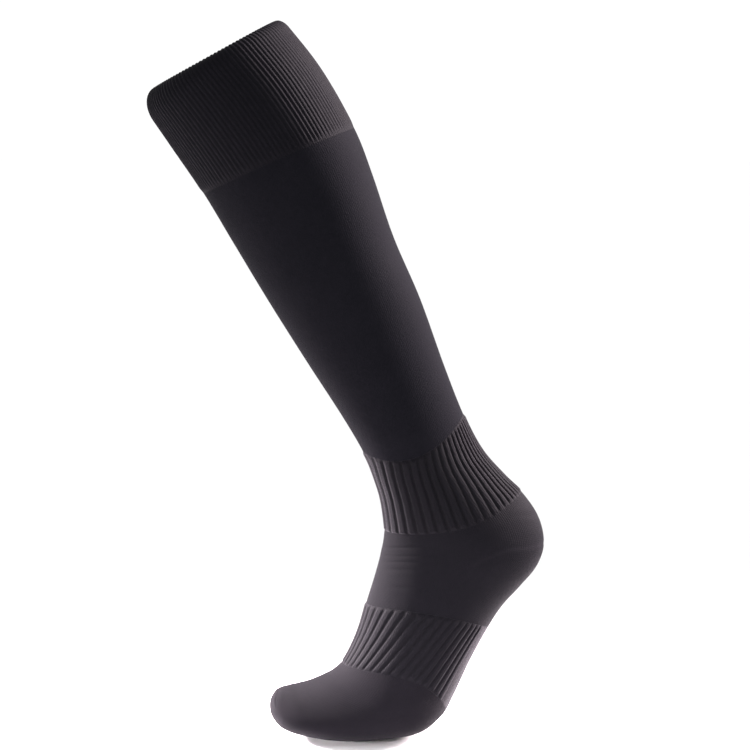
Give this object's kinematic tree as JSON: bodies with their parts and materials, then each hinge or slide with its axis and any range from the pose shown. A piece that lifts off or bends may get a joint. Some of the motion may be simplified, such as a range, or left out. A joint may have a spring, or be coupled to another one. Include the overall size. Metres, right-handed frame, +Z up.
{
  "type": "compression stocking",
  "caption": "Knee-high compression stocking in its worn shape, hollow, with a ribbed cuff, ribbed bands at ankle and foot, and a closed toe.",
  "frame": {"origin": "middle of the cuff's top end, in the leg opening", "axes": "+X towards the heel, +Y to one side, +Z up; the leg leans towards -X and the toes point to -X"},
  "size_m": [0.2769, 0.107, 0.503],
  "materials": {
    "fine_rib_knit": "charcoal black yarn in fine ribs, a double welt",
    "plain_knit": "charcoal black plain knit, stretched smooth, with a soft sheen",
    "wide_rib_knit": "charcoal black yarn in wide flat ribs with narrow grooves",
    "heel_knit": "charcoal black plain knit with a gore line across the heel pocket",
    "toe_knit": "charcoal black plain knit, thick and matt"
  },
  "bodies": {
    "root": {"cuff": "fine_rib_knit", "leg": "plain_knit", "ankle_rib": "wide_rib_knit", "heel": "heel_knit", "arch_rib": "wide_rib_knit", "toe": "toe_knit"}
  },
  "joints": []
}
